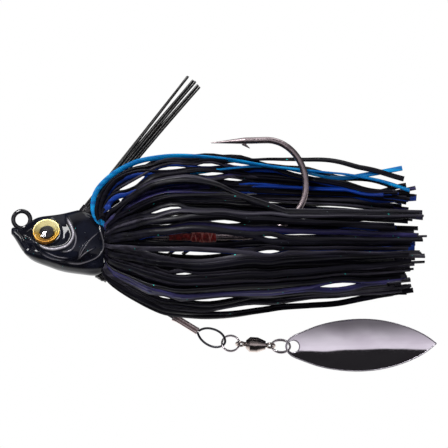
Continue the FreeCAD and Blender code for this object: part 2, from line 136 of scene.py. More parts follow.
class Finish(Graph):
    """A principled material. Its textures are laid out in millimetres in the piece's own space."""

    def __init__(self, name, colour, **values):
        self.material = bpy.data.materials.new(name)
        self.material.use_nodes = True
        super().__init__(self.material.node_tree)
        self.surface = self.tree.nodes["Principled BSDF"]
        self.place = self.tree.nodes.new("ShaderNodeTexCoord").outputs["Object"]
        self.put("Base Color", colour)
        for key, value in values.items():
            self.put(key, value)

    def put(self, name, value):
        name = name.replace("_", " ").title().replace("Ior", "IOR")
        self.feed(self.surface.inputs[name], value)

    def stretched(self, stretch=(1, 1, 1)):
        scale = [value / MM for value in stretch]
        return self.node("ShaderNodeMapping", {"Vector": self.place, "Scale": scale}).outputs[0]

    def noise(self, per_mm, detail, stretch=(1, 1, 1)):
        values = {"Vector": self.stretched(stretch), "Scale": per_mm, "Detail": detail}
        return self.node("ShaderNodeTexNoise", values).outputs[0]

    def flakes(self, per_mm, share, radius):
        """1 on sparse round flecks and 0 elsewhere; share of the cells hold one."""
        values = {"Vector": self.stretched(), "Scale": per_mm}
        cells = self.node("ShaderNodeTexVoronoi", values)
        chosen = self.math("LESS_THAN", self.split(cells.outputs["Color"])[0], share)
        inside = self.math("LESS_THAN", cells.outputs["Distance"], radius)
        return self.math("MULTIPLY", chosen, inside)

    def bump(self, height, depth, strength, socket="Normal"):
        values = {"Height": height, "Distance": depth * MM, "Strength": strength}
        self.put(socket, self.node("ShaderNodeBump", values).outputs[0])

    def blend(self, share, first, second):
        """Makes the material a mix of two shader nodes: the first at share 0, the second at 1."""
        both = self.node("ShaderNodeMixShader", {0: share, 1: first.outputs[0], 2: second.outputs[0]})
        self.feed(self.tree.nodes["Material Output"].inputs[0], both.outputs[0])


BLACK_ENAMEL = (0.004, 0.004, 0.006)
WHITE = (1.0, 1.0, 1.0)


def painted_lead():
    """Gloss black enamel with sparse teal and silver flake, a faint orange peel and a pale highlight painted
    along the raised crests.
    """
    made = Finish("head_paint", BLACK_ENAMEL, roughness=0.5, coat_weight=0.9,
                  coat_roughness=0.03, coat_ior=1.33, specular_ior_level=0.0)
    teal = made.flakes(2.6, 0.035, 0.2)
    silver = made.flakes(1.7, 0.02, 0.11)
    tone = made.mix(made.span(made.noise(0.35, 2), 0.35, 0.7), (0.003, 0.003, 0.005), (0.006, 0.007, 0.013))
    tone = made.mix(teal, tone, (0.02, 0.22, 0.22))
    tone = made.mix(silver, tone, (0.55, 0.6, 0.6))
    # Painted highlight: the base colour turns pale grey along the crests that the head's mesh marks.
    crest_highlight = made.node("ShaderNodeAttribute", attribute_name=CREST_HIGHLIGHT).outputs["Fac"]
    made.put("base_color", made.mix(crest_highlight, tone, (0.6, 0.57, 0.63)))
    made.put("metallic", made.math("MAXIMUM", teal, silver))
    made.put("coat_roughness", made.span(made.noise(1.2, 4), 0.3, 0.75, 0.02, 0.07))
    made.bump(made.noise(0.9, 2), 0.02, 0.12, "coat_normal")
    return made


def black_nickel(name, colour, roughness):
    """Polished dark plating: cloudy tint, fine polishing grain and slightly brighter worn patches."""
    made = Finish(name, colour, metallic=1.0, roughness=roughness)
    darker = [value * 0.72 for value in colour]
    lighter = [min(1.0, value * 1.3 + 0.03) for value in colour]
    tone = made.mix(made.span(made.noise(0.5, 3), 0.3, 0.7), darker, colour)
    worn = made.span(made.noise(3.0, 5), 0.62, 0.8, 0.0, 0.25)
    made.put("base_color", made.mix(worn, tone, lighter))
    made.put("roughness", made.span(made.noise(6.0, 4), 0.25, 0.8, roughness * 0.6, roughness * 1.8))
    made.bump(made.noise(5.0, 2), 0.004, 0.25)
    return made


def blade_plating():
    """Mirror-polished black nickel with a faint draw along its length and a slow waviness."""
    made = Finish("blade_nickel", (0.56, 0.52, 0.57), metallic=1.0, roughness=0.06)
    cloud = made.span(made.noise(0.3, 2, (0.5, 1, 1)), 0.3, 0.7)
    made.put("base_color", made.mix(cloud, (0.78, 0.72, 0.79), (0.93, 0.88, 0.94)))
    made.put("roughness", made.span(made.noise(7.0, 4, (0.2, 1, 1)), 0.3, 0.8, 0.04, 0.11))
    made.bump(made.noise(0.13, 1), 0.3, 0.7)
    return made


def hook_plating():
    """Black nickel, with the head's black enamel over the line tie and whatever the casting hides."""
    made = black_nickel("hook_nickel", (0.4, 0.33, 0.34), 0.3)
    values = {"Base Color": BLACK_ENAMEL, "Roughness": 0.08, "IOR": 1.6}
    paint = made.node("ShaderNodeBsdfPrincipled", values)
    ragged = made.math("MULTIPLY", made.noise(1.5, 3), 0.6 * MM)
    edge = made.math("ADD", made.split(made.place)[0], ragged)
    paint_end = box_mm("head_casting")[1][0] * MM
    made.blend(made.math("LESS_THAN", edge, paint_end), made.surface, paint)
    return made


def silicone(name, colour, lighter, sheen, clear=0.0):
    """A soft satin strand: long streaks of tone, a few flecks inside and a fine grain along it."""
    made = Finish(name, colour, roughness=0.42, specular_ior_level=sheen, ior=1.43)
    streak = made.noise(1.1, 3, (0.06, 1.3, 1.3))
    tone = made.mix(made.span(streak, 0.36, 0.68), colour, lighter)
    flecks = made.flakes(1.15, 0.05, 0.16)
    dust = made.flakes(2.4, 0.05, 0.1)
    tone = made.mix(flecks, tone, (0.04, 0.42, 0.38))
    made.put("base_color", made.mix(dust, tone, (0.2, 0.24, 0.27)))
    made.put("metallic", made.math("MULTIPLY", made.math("MAXIMUM", flecks, dust), 0.8))
    made.put("roughness", made.span(made.noise(1.6, 3, (0.12, 1, 1)), 0.3, 0.75, 0.3, 0.5))
    made.bump(made.noise(3.5, 3, (0.1, 1, 1)), 0.02, 0.4)
    if clear:
        made.blend(clear, made.surface, made.node("ShaderNodeBsdfTranslucent", {"Color": lighter}))
    return made


def eye_foil():
    """Gold foil in a shallow cup, with painted light and shade: pale on top, brown below and along the rim as
    painted shade, and faint darker specks.
    """
    made = Finish("eye_gold", (0.83, 0.58, 0.13), metallic=0.75, roughness=0.3, specular_ior_level=0.3)
    low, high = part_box("eye_foil_left")
    x, _, z = made.split(made.place)
    # Painted light and shade: paler towards the top of the foil, brown towards its bottom.
    rise = made.span(z, low[2], high[2] - 0.2 * (high[2] - low[2]))
    tone = made.mix(rise, (0.3, 0.12, 0.02), (0.9, 0.58, 0.09))
    tone = made.mix(made.span(rise, 0.55, 0.95), tone, (1.0, 0.9, 0.42))
    # Painted shade: darker towards the rim on either side.
    across = made.math("ABSOLUTE", made.math("SUBTRACT", x, (low[0] + high[0]) / 2))
    rim = made.span(across, 0.36 * (high[0] - low[0]), 0.5 * (high[0] - low[0]))
    tone = made.mix(made.math("MULTIPLY", rim, 0.6), tone, (0.35, 0.19, 0.04))
    specks = made.span(made.noise(4.0, 3), 0.6, 0.85, 0.0, 0.2)
    made.put("base_color", made.mix(specks, tone, (0.6, 0.4, 0.12)))
    made.put("roughness", made.span(made.noise(5.0, 3), 0.3, 0.7, 0.26, 0.4))
    return made


def eye_pupil():
    """Matt black print with a faint grey bloom."""
    made = Finish("eye_black", (0.004, 0.004, 0.004), roughness=0.6, specular_ior_level=0.15)
    bloom = made.span(made.noise(0.7, 2), 0.45, 0.7)
    made.put("base_color", made.mix(bloom, (0.002, 0.002, 0.002), (0.012, 0.011, 0.014)))
    made.put("roughness", made.span(made.noise(3.0, 2), 0.3, 0.7, 0.5, 0.7))
    return made


def eye_clear():
    """The clear domed lens over the eye: see-through, with a sharp reflection that grows to the rim."""
    made = Finish("eye_clear", WHITE, roughness=0.02)
    made.put("roughness", made.span(made.noise(2.0, 3), 0.55, 0.9, 0.01, 0.06))
    gloss = made.node("ShaderNodeBsdfGlossy", {"Color": WHITE, "Roughness": 0.02})
    clear = made.node("ShaderNodeBsdfTransparent", {"Color": (0.97, 0.96, 0.93)})
    outside = made.math("SUBTRACT", 1.0, made.node("ShaderNodeNewGeometry").outputs["Backfacing"])
    rim = made.math("MULTIPLY", made.node("ShaderNodeFresnel", {"IOR": 1.4}).outputs[0], outside)
    made.blend(rim, clear, gloss)
    return made


def thread(name, dark, light, fibre_level):
    """Waxed thread with pale fibres; fibre_level is the noise above which they show."""
    made = Finish(name, light, roughness=0.45, sheen_weight=0.4, sheen_roughness=0.4)
    tone = made.mix(made.span(made.noise(1.3, 4), 0.35, 0.7), dark, light)
    pale = made.span(made.noise(3.2, 3, (0.5, 1, 1)), fibre_level - 0.06, fibre_level + 0.06, 0.0, 0.55)
    made.put("base_color", made.mix(pale, tone, (0.8, 0.34, 0.3)))
    made.put("roughness", made.span(made.noise(4.0, 3), 0.3, 0.7, 0.3, 0.6))
    made.bump(made.noise(14.0, 2, (1, 0.4, 0.4)), 0.02, 0.6)
    return made


def drawn_plastic(name, colour, lighter, roughness, grain=(0.15, 1, 0.15)):
    """Extruded or moulded black plastic with faint draw lines."""
    made = Finish(name, colour, roughness=roughness)
    made.put("base_color", made.mix(made.span(made.noise(1.4, 3, grain), 0.35, 0.7), colour, lighter))
    made.put("roughness", made.span(made.noise(3.0, 3, grain), 0.3, 0.7, roughness * 0.7, roughness * 1.35))
    made.bump(made.noise(2.5, 2, grain), 0.006, 0.3)
    return made


def floor_finish(fade_start, fade_end):
    """Pale floor that melts into the white surroundings before its own edge."""
    made = Finish("floor_pale", (0.86, 0.86, 0.87), roughness=0.9, specular_ior_level=0.1)
    tone = made.mix(made.noise(0.02, 3), (0.84, 0.84, 0.85), (0.88, 0.88, 0.89))
    made.put("base_color", tone)
    x, y = made.split(made.place)[:2]
    distance = made.math("SQRT", made.math("ADD", made.math("MULTIPLY", x, x), made.math("MULTIPLY", y, y)))
    glow = made.node("ShaderNodeEmission", {"Color": WHITE})
    made.blend(made.span(distance, fade_start, fade_end), made.surface, glow)
    return made


PAINT = painted_lead()
HOOK = hook_plating()
STRAND_FINISHES = (
    silicone("silicone_black", (0.0018, 0.0016, 0.003), (0.005, 0.0045, 0.009), 0.15),
    silicone("silicone_smoke", (0.009, 0.008, 0.013), (0.03, 0.027, 0.041), 0.35),
    silicone("silicone_indigo", (0.008, 0.007, 0.036), (0.025, 0.021, 0.1), 0.35, clear=0.1),
    silicone("silicone_deep_blue", (0.002, 0.012, 0.1), (0.003, 0.04, 0.3), 0.3, clear=0.18),
    silicone("silicone_bright_blue", (0.0, 0.13, 0.4), (0.0, 0.31, 0.68), 0.35, clear=0.3),
)
BLACK, SMOKE, INDIGO, DEEP, BRIGHT = range(len(STRAND_FINISHES))


# ---- Mesh helpers ----

def unit(vectors):
    return vectors / np.linalg.norm(vectors, axis=-1, keepdims=True)


def step(value, low, high):
    """0 below low, 1 above high, smooth between."""
    share = np.clip((value - low) / (high - low), 0, 1)
    return share * share * (3 - 2 * share)


# How many points a curve is measured at for each one it keeps.
CURVE_FINENESS = 8
# Further to the near side than any part of the lure.
OUTSIDE = 20.0


def curve_through(points, count):
    """Evenly spaced points on a smooth curve through the given ones."""
    points = np.asarray(points, float)
    ends = np.vstack([2 * points[0] - points[1], points, 2 * points[-1] - points[-2]])
    spans = len(points) - 1
    place = np.linspace(0, spans, CURVE_FINENESS * count)
    first = np.minimum(place.astype(int), spans - 1)
    u = (place - first)[:, None]
    a, b, c, d = (ends[first + k] for k in range(4))
    fine = 0.5 * (2 * b + (c - a) * u + (2 * a - 5 * b + 4 * c - d) * u**2 + (3 * b - a - 3 * c + d) * u**3)
    run = np.concatenate([[0], np.cumsum(np.linalg.norm(np.diff(fine, axis=0), axis=1))])
    even = np.linspace(0, run[-1], count)
    return np.column_stack([np.interp(even, run, column) for column in fine.T])


def ring(radius, sides):
    """A round section."""
    angles = np.arange(sides) * 2 * math.pi / sides
    return radius * np.column_stack([np.cos(angles), np.sin(angles)])


def shape_of(node):
    """A CAD node's faces in millimetres, for finding where its surface is."""
    mesh = nodes[node].data
    points = [corner.co / MM for corner in mesh.vertices]
    return BVHTree.FromPolygons(points, [face.vertices for face in mesh.polygons])


def near_surface(shape, x, z):
    """Where a shape is first met from the near side, or None beside it."""
    return shape.ray_cast(Vector((x, -OUTSIDE, z)), Vector((0, 1, 0)))[0]


class Bundle:
    """Closed swept shapes gathered into one piece."""

    def __init__(self, name):
        self.name = name
        self.points = []
        self.faces = []
        self.finish = []

    def sweep(self, path, section, across, twist=0.0, finish=0, taper=None):
        """Carries a section along a path. across is the direction of its first axis at the start."""
        tangents = unit(np.gradient(path, axis=0))
        side = np.asarray(across, float)
        start, count, sides = sum(map(len, self.points)), len(path), len(section)
        for index, (point, tangent) in enumerate(zip(path, tangents)):
            side = unit(side - tangent * (side @ tangent))
            lift = np.cross(tangent, side)
            turn = twist * index / (count - 1)
            u = math.cos(turn) * side + math.sin(turn) * lift
            v = math.cos(turn) * lift - math.sin(turn) * side
            size = 1.0 if taper is None else taper[index]
            self.points.append(point + size * (section[:, :1] * u + section[:, 1:] * v))
        for index in range(count - 1):
            near = start + index * sides
            for k in range(sides):
                after = (k + 1) % sides
                self.faces.append((near + k, near + after, near + sides + after, near + sides + k))
        last = start + (count - 1) * sides
        self.faces.append(tuple(range(start, start + sides))[::-1])
        self.faces.append(tuple(range(last, last + sides)))
        self.finish += [finish] * (len(self.faces) - len(self.finish))

    def piece(self, finishes):
        """The gathered shapes as one object, smooth shaded but for its sharp edges."""
        mesh = bpy.data.meshes.new(self.name)
        mesh.from_pydata((np.vstack(self.points) * MM).tolist(), [], self.faces)
        for finish in finishes:
            mesh.materials.append(finish.material)
        mesh.polygons.foreach_set("material_index", self.finish)
        mesh.polygons.foreach_set("use_smooth", [True] * len(self.faces))
        face_outwards(mesh)
        mesh.set_sharp_from_angle(angle=math.radians(50))
        return placed(self.name, mesh)


def placed(name, data):
    made = bpy.data.objects.new(name, data)
    bpy.context.scene.collection.objects.link(made)
    return made


def face_outwards(mesh):
    work = bmesh.new()
    work.from_mesh(mesh)
    bmesh.ops.recalc_face_normals(work, faces=work.faces)
    work.to_mesh(mesh)
    work.free()


def clay(node, name, voxel, smoothing):
    """A CAD node's shape as an even, softened mesh in millimetres, ready to be sculpted."""
    source = nodes[node].data.copy()
    source.transform(Matrix.Diagonal((1 / MM, 1 / MM, 1 / MM, 1.0)))
    work = placed(name + "_source", source)
    remesh = work.modifiers.new("remesh", "REMESH")
    remesh.mode = "VOXEL"
    remesh.voxel_size = voxel
    soften = work.modifiers.new("soften", "SMOOTH")
    soften.factor = 0.5
    soften.iterations = smoothing
    graph = bpy.context.evaluated_depsgraph_get()
    mesh = bpy.data.meshes.new_from_object(work.evaluated_get(graph))
    mesh.name = name
    bpy.data.objects.remove(work)
    bpy.data.meshes.remove(source)
    return mesh


def corners(mesh):
    values = np.zeros(3 * len(mesh.vertices), np.float32)
    mesh.vertices.foreach_get("co", values)
    return values.reshape(-1, 3).astype(float)


def normals(mesh):
    values = np.zeros(3 * len(mesh.vertices), np.float32)
    mesh.vertex_normals.foreach_get("vector", values)
    return values.reshape(-1, 3).astype(float)


def sculpted(mesh, points, finish):
    """Puts moved points, in millimetres, back as a smooth piece in metres."""
    mesh.vertices.foreach_set("co", (points * MM).astype(np.float32).ravel())
    mesh.materials.clear()
    mesh.materials.append(finish.material)
    mesh.polygons.foreach_set("use_smooth", [True] * len(mesh.polygons))
    mesh.update()
    return placed(mesh.name, mesh)


# ---- Head: the casting with its moulded lines ----

HEAD_VOXEL = 0.1
# A crest's painted highlight width as a share of its line's, and how far in from the line's ends it fades.
CREST_SHARE = 0.64
CREST_FADE = 1.2
# Heights count for more than lengths round an eye socket, and the relief sets in this far outside it.
SOCKET_SQUEEZE = 1.15
SOCKET_EDGE = (0.1, 0.5)
# Moulded lines on each side, as (x, z) points.
EYE_RIM = ((3.4, -4.5), (4.6, -5.15), (6.5, -5.3), (8.6, -4.6), (9.6, -3.0), (9.3, -1.4), (8.4, 0.2))
GILL_EDGE = ((14.4, -1.15), (14.6, -2.3), (15.1, -4.2), (14.9, -5.7), (13.6, -7.1), (10.9, -8.0), (8.3, -7.8))
CHINE = ((0.9, -6.0), (3.0, -6.6), (5.5, -7.5), (8.0, -8.2), (10.7, -8.6), (13.2, -8.7), (15.0, -8.6))
MOUTH = ((-0.8, -2.0), (0.0, -2.9), (0.55, -4.05), (1.15, -5.2), (1.65, -5.4), (2.0, -4.8))
OUTER_RIM = ((7.5, -6.0), (9.3, -5.5), (10.1, -3.9), (9.9, -1.9))
FIN_APEX = (10.5, -7.3)
FIN_RAYS = ((FIN_APEX, (11.5, -5.4), (12.7, -3.7), (14.2, -2.4)),
            (FIN_APEX, (11.8, -6.1), (13.6, -5.1)),
            (FIN_APEX, (11.1, -5.3), (12.2, -3.9)))
CHEEK_LINES = (((4.4, -5.9), (6.6, -6.8), (8.8, -7.1)),
               ((3.6, -6.1), (5.4, -7.0), (8.0, -7.6)))
LIP = ((2.0, -4.8), (2.7, -5.5), (3.4, -5.6))
JAW = ((0.2, -5.0), (1.6, -6.4), (3.2, -7.0))
# Each line's height (a groove is negative), its half thickness and how pale a highlight is painted on its
# crest.
MOULDED_LINES = (
    (EYE_RIM, 0.34, 0.27, 0.75), (OUTER_RIM, 0.1, 0.13, 0.32), (GILL_EDGE, 0.1, 0.13, 0.14),
    (FIN_RAYS[0], 0.12, 0.11, 0.2), (FIN_RAYS[1], 0.12, 0.11, 0.25), (FIN_RAYS[2], 0.08, 0.09, 0.1),
    (CHEEK_LINES[0], 0.09, 0.1, 0.3), (CHEEK_LINES[1], 0.07, 0.1, 0.16),
    (MOUTH, -0.24, 0.2, 0.0), (LIP, -0.14, 0.2, 0.0), (CHINE, 0.16, 0.5, 0.0), (JAW, 0.16, 0.8, 0.0),
)
# The level changes on the left of these lines: by how much, and at what distances from the line it sets in
# and fades out.
MOULDED_LEVELS = (
    (EYE_RIM, -0.3, (0.05, 0.4), (2.2, 3.4)),
    (GILL_EDGE, 0.08, (-0.12, 0.1), (0.8, 2.2)),
    (CHINE, -0.12, (0.3, 1.0), (1.2, 2.2)),
)


def line_distance(x, z, points):
    """Distance from each (x, z) to a curve, and on which side of it: positive to the curve's left."""
    line = curve_through(points, 80)
    nearest = np.full(len(x), 1e9)
    side = np.zeros(len(x))
    for start, end in zip(line[:-1], line[1:]):
        run = end - start
        share = np.clip(((x - start[0]) * run[0] + (z - start[1]) * run[1]) / (run @ run), 0, 1)
        dx = x - start[0] - share * run[0]
        dz = z - start[1] - share * run[1]
        distance = np.hypot(dx, dz)
        closer = distance < nearest
        nearest = np.where(closer, distance, nearest)
        side = np.where(closer, np.sign(run[0] * dz - run[1] * dx), side)
    return nearest, side


def head_relief(points, outward):
    """How far the casting's moulded detail stands out at each point."""
    x, z = points[:, 0], points[:, 2]
    relief = np.zeros(len(x))
    for line, height, half, _ in MOULDED_LINES:
        distance, _ = line_distance(x, z, line)
        relief += height * np.exp(-((distance / half) ** 2))
    for line, height, onset, fade in MOULDED_LEVELS:
        distance, side = line_distance(x, z, line)
        relief += height * step(distance * side, *onset) * (1 - step(distance, *fade))
    return relief * step(np.abs(outward[:, 1]), 0.2, 0.55)


def painted_crest_highlights(points, outward):
    """How pale a highlight is painted along the crests of the raised lines."""
    x, z = points[:, 0], points[:, 2]
    pale = np.zeros(len(x))
    for line, _, half, share in MOULDED_LINES:
        distance, _ = line_distance(x, z, line)
        from_end = np.min([np.hypot(x - end[0], z - end[1]) for end in (line[0], line[-1])], axis=0)
        crest = np.exp(-((distance / (CREST_SHARE * half)) ** 2)) * step(from_end, 0.0, CREST_FADE)
        pale = np.maximum(pale, share * crest)
    return pale * step(np.abs(outward[:, 1]), 0.3, 0.6)


def outside_sockets(points):
    """1 on the casting's outer skin, 0 within its eye sockets."""
    keep = np.ones(len(points))
    for side in ("left", "right"):
        low, high = box_mm("eye_foil_" + side)
        centre = (low + high) / 2
        reach = (high[0] - low[0]) / 2
        across = np.hypot(points[:, 0] - centre[0], (points[:, 2] - centre[2]) * SOCKET_SQUEEZE)
        here = np.sign(points[:, 1]) == np.sign(centre[1])
        keep = np.where(here, keep * step(across - reach, *SOCKET_EDGE), keep)
    return keep


def sculpt_head():
    """The casting with its relief, and the painted highlights on its crests marked on it for the paint."""
    mesh = clay("head_casting", "head_sculpted", voxel=HEAD_VOXEL, smoothing=6)
    points, outward = corners(mesh), normals(mesh)
    skin = outside_sockets(points)
    relief = head_relief(points, outward) * skin
    # Marks the crests where the paint shows a painted highlight.
    pale = mesh.attributes.new(CREST_HIGHLIGHT, "FLOAT", "POINT")
    pale.data.foreach_set("value", painted_crest_highlights(points, outward) * skin)
    head = sculpted(mesh, points + outward * relief[:, None], PAINT)
    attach(head, "head")
    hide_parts("head_casting")


def sculpt_seal():
    """The dab of black glue where the wire leaves the casting, lumpy as it set."""
    mesh = clay("wire_seal", "wire_seal_dab", voxel=0.12, smoothing=2)
    points, outward = corners(mesh), normals(mesh)
    lumps = [noise.noise(Vector(point) * 1.4) + 0.4 * noise.noise(Vector(point) * 3.7) for point in points]
    relief = 0.16 * np.array(lumps)
    glue = drawn_plastic("glue_black", (0.006, 0.005, 0.006), (0.02, 0.018, 0.02), 0.25, (1, 1, 1))
    seal = sculpted(mesh, points + outward * relief[:, None], glue)
    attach(seal, "head")
    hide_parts("wire_seal")


# ---- Thread wrap: real windings over a core ----

def wind_thread():
    """A neat winding over the whole length, and a coarse one over its rear half whose crossing turns take a
    paler copy of the thread as a painted highlight.
    """
    low, high = box_mm("thread_wrap")
    axis_z = (low[2] + high[2]) / 2
    outer = (high[2] - low[2]) / 2
    thread_radius = 0.13
    neat_end = (low[0] + high[0]) / 2
    neat_radius = 0.66 * outer - thread_radius
    coarse_radius = outer - thread_radius
    wrap = Bundle("thread_windings")

    def helix(start, end, radius, turns, finish=0):
        share = np.linspace(0, 1, int(turns * 18))
        angle = share * turns * 2 * math.pi
        x = start + (end - start) * share
        path = np.column_stack([x, radius * np.cos(angle), axis_z + radius * np.sin(angle)])
        wrap.sweep(path, ring(thread_radius, 6), (1, 0, 0), finish=finish)

    def core(start, end, radius):
        path = np.column_stack([np.linspace(start, end, 12), np.zeros(12), np.full(12, axis_z)])
        wrap.sweep(path, ring(radius, 24), (0, 1, 0))

    first, last = low[0] + thread_radius, high[0] - thread_radius
    core(first, last, neat_radius)
    core(neat_end, last - thread_radius, coarse_radius - 0.5 * thread_radius)
    helix(first, last, neat_radius, turns=36)
    helix(neat_end - 0.2, last, coarse_radius - 0.06, turns=19)
    # The next two turns take the paler copy of the thread, a painted highlight.
    helix(last, neat_end - 0.3, coarse_radius, turns=2.6, finish=1)
    helix(neat_end - 0.1, last - thread_radius, coarse_radius, turns=3.4, finish=1)
    helix(last - thread_radius, neat_end + 0.2, coarse_radius, turns=4.7)
    # A paler copy of the thread, painted as the highlight on the crossing turns.
    lit = thread("thread_painted_highlight", (0.5, 0.05, 0.045), (0.85, 0.4, 0.36), 0.5)
    made = wrap.piece([thread("thread_red", (0.2, 0.006, 0.006), (0.55, 0.025, 0.02), 0.64), lit])
    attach(made, "head")
    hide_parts("thread_wrap")


# ---- Weed guard: fibres that curve apart towards their tips ----

GUARD_ROOT = np.array(joint("guard_bend")["pos_m"]) / MM
GUARD_RISE = math.radians(51.7)
GUARD_LENGTH = 30.4
FIBRE_RADIUS = 0.25
# Across the guard, from its front to its back: where each column of fibres starts and where it ends.
FIBRE_COLUMNS = ((0.84, 0.95), (0.42, -0.26), (0.0, -0.72), (-0.42, -1.48), (-0.84, -1.95))
# The two rows of fibres are this much out of step at the root, and this far from the middle at both ends.
FIBRE_STAGGER = 0.2
ROOT_SIDE = 0.28
TIP_SIDE = 0.6


def grow_guard():
    """Ten fibres in two rows, which curve apart towards their tips."""
    draw = random.Random(5)
    along = np.array([math.cos(GUARD_RISE), 0.0, math.sin(GUARD_RISE)])
    front = np.array([-math.sin(GUARD_RISE), 0.0, math.cos(GUARD_RISE)])
    guard = Bundle("weed_guard_bristles")
    for root_offset, tip_offset in FIBRE_COLUMNS:
        for side in (-1, 1):
            length = GUARD_LENGTH * draw.uniform(0.985, 1.0)
            tip_side = TIP_SIDE * draw.uniform(0.8, 1.0)
            points = []
            for run in (-2.2, 0.0, 2.0, 10.0, 20.0, length - 0.2, length):
                share = max(run, 0.0) / GUARD_LENGTH
                offset = root_offset + (tip_offset - root_offset) * share**1.7
                offset += side * FIBRE_STAGGER * (1 - share)
                y = side * (ROOT_SIDE + (tip_side - ROOT_SIDE) * share)
                points.append(GUARD_ROOT + along * run + front * offset + np.array([0.0, y, 0.0]))
            path = curve_through(points, 24)
            taper = np.ones(len(path))
            taper[-1] = 0.8
            guard.sweep(path, ring(FIBRE_RADIUS, 10), (0, 1, 0), taper=taper)
    fibre = drawn_plastic("guard_fibre", (0.003, 0.003, 0.003), (0.008, 0.007, 0.006), 0.3)
    made = guard.piece([fibre])
    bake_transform(made)
    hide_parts("weed_guard_fibres")


# ---- Skirt: separate silicone strands ----

COLLAR_LOW, COLLAR_HIGH = box_mm("skirt_collar")
AXIS_Z = (COLLAR_LOW[2] + COLLAR_HIGH[2]) / 2
COLLAR_RADIUS = (COLLAR_HIGH[2] - COLLAR_LOW[2]) / 2
UPPER_LOW, UPPER_HIGH = box_mm("skirt_upper_left")
LOWER_LOW, LOWER_HIGH = box_mm("skirt_lower_left")
SKIRT_START, SKIRT_END = UPPER_LOW[0], UPPER_HIGH[0]
SKIRT_UP = UPPER_HIGH[2] - AXIS_Z
SKIRT_DOWN = AXIS_Z - LOWER_LOW[2]
SKIRT_OUT = -UPPER_LOW[1]
HEAD_REAR = GILL_EDGE[2][0]
HEAD_SHAPE = shape_of("head_casting")
SHANK_Z = sum(corner[2] for corner in box_mm("thread_wrap")) / 2

# The skirt's outline: share of its length, then shares of its rise, drop and half width there.
OUTLINE = ((0.0, 0.74, 0.71, 0.65), (0.09, 0.95, 0.92, 0.86), (0.25, 1.0, 1.0, 0.97), (0.49, 0.96, 0.93, 1.0),
           (0.72, 0.92, 0.84, 0.95), (0.89, 0.86, 0.76, 0.86), (1.0, 0.78, 0.7, 0.78))
# Open gaps between strands: from (x, z) to (x, z), and half the gap's height at its middle.
GAPS = (
    ((21, -5.8), (42, -5.8), 0.8),
    ((23.3, 0.8), (29.6, 2.2), 0.3),
    ((25, 0), (31.2, 0.6), 0.24),
    ((24.2, -1.5), (30, -0.8), 0.16),
    ((33.5, -0.5), (41.2, -0.6), 0.22),
    ((25.8, -9), (28.6, -8.7), 0.2),
    ((28, -9.7), (31.6, -9.4), 0.2),
    ((24.6, -13.9), (28, -14.3), 0.16),
    ((28.3, -15), (43, -14.2), 0.34),
    ((33.4, -16.6), (48, -15.4), 0.24),
    ((44, -15.7), (68, -13.3), 0.26),
    ((15.9, 4.3), (23.7, 7.9), 0.42),
    ((15.8, 1.8), (18.6, 4), 0.3),
    ((15.8, -0.5), (17.2, 1.1), 0.2),
    ((32.2, 9.7), (36.2, 9.8), 0.16),
    ((36.4, 7.4), (41, 7.4), 0.16),
    ((23.3, 9), (30.6, 9.9), 0.24),
    ((37.6, 10.2), (42.2, 10.3), 0.22),
    ((31, 8.2), (37.6, 8.2), 0.2),
    ((48.2, 8.6), (57.4, 8.3), 0.2),
    ((52, 10.3), (62, 9.2), 0.36),
    ((60, 7), (68.5, 6), 0.36),
    ((42.3, -3.4), (47.8, -3.4), 0.32),
    ((42.8, -5.9), (48, -5.8), 0.28),
    ((53.3, -12.3), (62.6, -11.6), 0.34),
)
# The shank and its thread show through the near side only.
WINDOW = ((18.5, -3.2), (47.0, -3.2), 0.9)
GAP_EASE = 1.6
# Strands that pass behind the hook's bend cross over between these places.
CROSSING = (21.0, box_mm("hook")[1][0] - 5)
# The slots for the guard and the wire: half their width and where they end. They open between these places.
GUARD_SLOT = (1.35, 27)
WIRE_SLOT = (1.2, 33)
SLOTS_OPEN = (14.0, 17.0)
SHANK_CLEARANCE = 1.35
STRAND_WIDTH = 0.92
STRAND_THICKNESS = 0.38
# How far a strand's middle line keeps from a gap or slot, as strands lie partly edge on.
GAP_MARGIN = STRAND_WIDTH / 2 * 0.85
STRAND_STEPS = 40
LONE_STEPS = 70
# The nearest, furthest and usual place of a strand's tip, and how much nearer it is at the top and bottom.
STRAND_TIPS = (66.0, 75.2, 71.5)
TIPS_NEARER = 2.0
# Each strand takes one of these shares of the outline's size, and bows by up to this angle, in degrees.
LAYERS = (1.0, 1.0, 0.93, 0.84, 0.72)
WANDER = 5.0
# Along a strand's root: the distance behind the head's rear edge, what is added deep in the bunch, and the
# share of the way from the collar to the outline.
ROOT = ((0.8, 0.9, 0.01), (0.35, 1.5, 0.12), (0.6, 1.9, 0.36), (2.1, 1.4, 0.7))
# Heights that strands are pressed down to along X, the upper ones and those beside the hook.
UPPER_ROOF = ((40, 52, 62, 75), (10.6, 7.9, 5.0, 4.0))
HOOK_ROOF = ((27, 48, 75), (9.5, 0.6, 0.6))
PRESSED = 0.85


def outline_at(share):
    """The skirt's rise, drop and half width at a share of its length."""
    columns = np.array(OUTLINE).T
    rise, drop, out = (np.interp(share, columns[0], column) for column in columns[1:])
    return rise * SKIRT_UP, drop * SKIRT_DOWN, out * SKIRT_OUT


def open_gap(path, gap):
    """Moves a path smoothly up or down, away from a lens-shaped gap."""
    (x0, z0), (x1, z1), height = gap
    share = np.clip((path[:, 0] - x0 + GAP_EASE) / (x1 - x0 + 2 * GAP_EASE), 0, 1)
    lens = np.sin(np.pi * share) ** 1.6
    middle = np.interp(path[:, 0], (x0, x1), (z0, z1))
    offset = path[:, 2] - middle
    side = 1.0 if offset[np.argmax(lens)] >= 0 else -1.0
    reach = (height + GAP_MARGIN) * lens
    outward = side * offset
    cleared = 0.5 * (outward + np.sqrt(outward**2 + 4 * reach**2))
    path[:, 2] += side * (cleared - outward) * step(lens, 0.0, 0.5)


